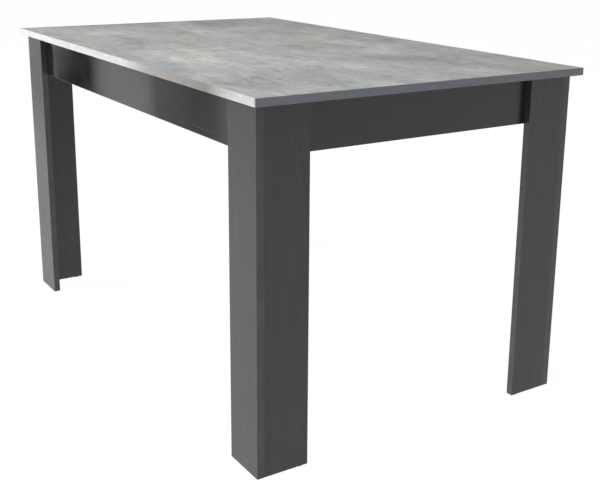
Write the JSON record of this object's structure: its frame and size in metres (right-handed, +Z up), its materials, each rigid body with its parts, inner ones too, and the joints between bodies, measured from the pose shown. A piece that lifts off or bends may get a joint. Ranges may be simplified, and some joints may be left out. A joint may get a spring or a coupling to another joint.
{
  "type": "extendable dining table",
  "caption": "Extendable rectangular dining table: centre-split concrete-look top on steel slides, stored leaf, anthracite apron frame and L-shaped board legs.",
  "frame": {"origin": "on the floor under the middle of the closed table", "axes": "+X along the length (the way the right half slides), +Y across the width to the rear, +Z up"},
  "size_m": [1.34, 0.81, 0.75],
  "materials": {
    "concrete_laminate": "matt melamine laminate with a cloudy concrete decor",
    "top_band": "satin edge band in the decor's light grey",
    "leg_board": "anthracite melamine laminate with a fine upright grain",
    "apron_board": "anthracite melamine laminate with a fine lengthwise grain",
    "anthracite_band": "satin edge band",
    "glide_plastic": "moulded plastic",
    "raw_wood": "planed beech and pine",
    "dowel_wood": "fluted beech",
    "zinc_screw": "bright zinc",
    "zinc_plate": "zinc-plated pressed sheet",
    "rail_steel": "zinc-plated rolled steel",
    "cage_steel": "pressed steel with grease film",
    "latch_plastic": "black powder coat"
  },
  "bodies": {
    "frame": {"front_apron": "apron_board", "rear_apron": "apron_board", "left_end_apron": "apron_board", "right_end_apron": "apron_board", "apron_edge_bands": "anthracite_band", "front_left_leg_side_board": "leg_board", "front_left_leg_end_board": "leg_board", "front_right_leg_side_board": "leg_board", "front_right_leg_end_board": "leg_board", "rear_left_leg_side_board": "leg_board", "rear_left_leg_end_board": "leg_board", "rear_right_leg_side_board": "leg_board", "rear_right_leg_end_board": "leg_board", "leg_edge_bands": "anthracite_band", "leg_dowels": "dowel_wood", "front_left_glides": "glide_plastic", "front_right_glides": "glide_plastic", "rear_left_glides": "glide_plastic", "rear_right_glides": "glide_plastic", "front_left_corner_block": "raw_wood", "front_right_corner_block": "raw_wood", "rear_left_corner_block": "raw_wood", "rear_right_corner_block": "raw_wood", "leg_screws": "zinc_screw", "corner_block_screws": "zinc_screw", "rail_screws": "zinc_screw", "slat_angle_screws": "zinc_screw", "left_slat": "raw_wood", "right_slat": "raw_wood", "slat_angles": "zinc_plate", "leaf_stops": "raw_wood", "front_rail": "rail_steel", "rear_rail": "rail_steel"},
    "left_half": {"left_top_panel": "concrete_laminate", "left_top_edging": "top_band", "left_front_batten": "apron_board", "left_rear_batten": "apron_board", "left_front_runner": "rail_steel", "left_rear_runner": "rail_steel", "left_half_screws": "zinc_screw", "seam_dowels": "dowel_wood", "latch_bases": "zinc_plate"},
    "right_half": {"right_top_panel": "concrete_laminate", "right_top_edging": "top_band", "right_front_batten": "apron_board", "right_rear_batten": "apron_board", "right_front_runner": "rail_steel", "right_rear_runner": "rail_steel", "right_half_screws": "zinc_screw", "latch_strikes": "zinc_plate"},
    "left_cages": {"left_front_cage": "cage_steel", "left_rear_cage": "cage_steel"},
    "right_cages": {"right_front_cage": "cage_steel", "right_rear_cage": "cage_steel"},
    "leaf": {"extension_leaf": "concrete_laminate", "leaf_edging": "top_band", "leaf_dowels": "dowel_wood"},
    "front_latch": {"front_latch_lever": "latch_plastic"},
    "rear_latch": {"rear_latch_lever": "latch_plastic"}
  },
  "joints": [
    {"name": "left_half_slide", "type": "slide", "parent": "frame", "child": "left_half", "axis": [-1, 0, 0], "range_m": [0, 0.2]},
    {"name": "right_half_slide", "type": "slide", "parent": "frame", "child": "right_half", "axis": [1, 0, 0], "range_m": [0, 0.2]},
    {"name": "left_cages_slide", "type": "slide", "parent": "frame", "child": "left_cages", "axis": [-1, 0, 0], "range_m": [0, 0.1]},
    {"name": "right_cages_slide", "type": "slide", "parent": "frame", "child": "right_cages", "axis": [1, 0, 0], "range_m": [0, 0.1]},
    {"name": "leaf_lift", "type": "slide", "parent": "frame", "child": "leaf", "axis": [0, 0, 1], "range_m": [0, 0.015]},
    {"name": "front_latch_swing", "type": "hinge", "parent": "left_half", "child": "front_latch", "pos_m": [-0.025, -0.272, 0.73], "axis": [0, 0, 1], "range_deg": [0, 90]},
    {"name": "rear_latch_swing", "type": "hinge", "parent": "left_half", "child": "rear_latch", "pos_m": [-0.025, 0.272, 0.73], "axis": [0, 0, -1], "range_deg": [0, 90]}
  ],
  "couplings": [
    {"joint": "left_cages_slide", "follows": "left_half_slide", "ratio": 0.5},
    {"joint": "right_cages_slide", "follows": "right_half_slide", "ratio": 0.5}
  ]
}
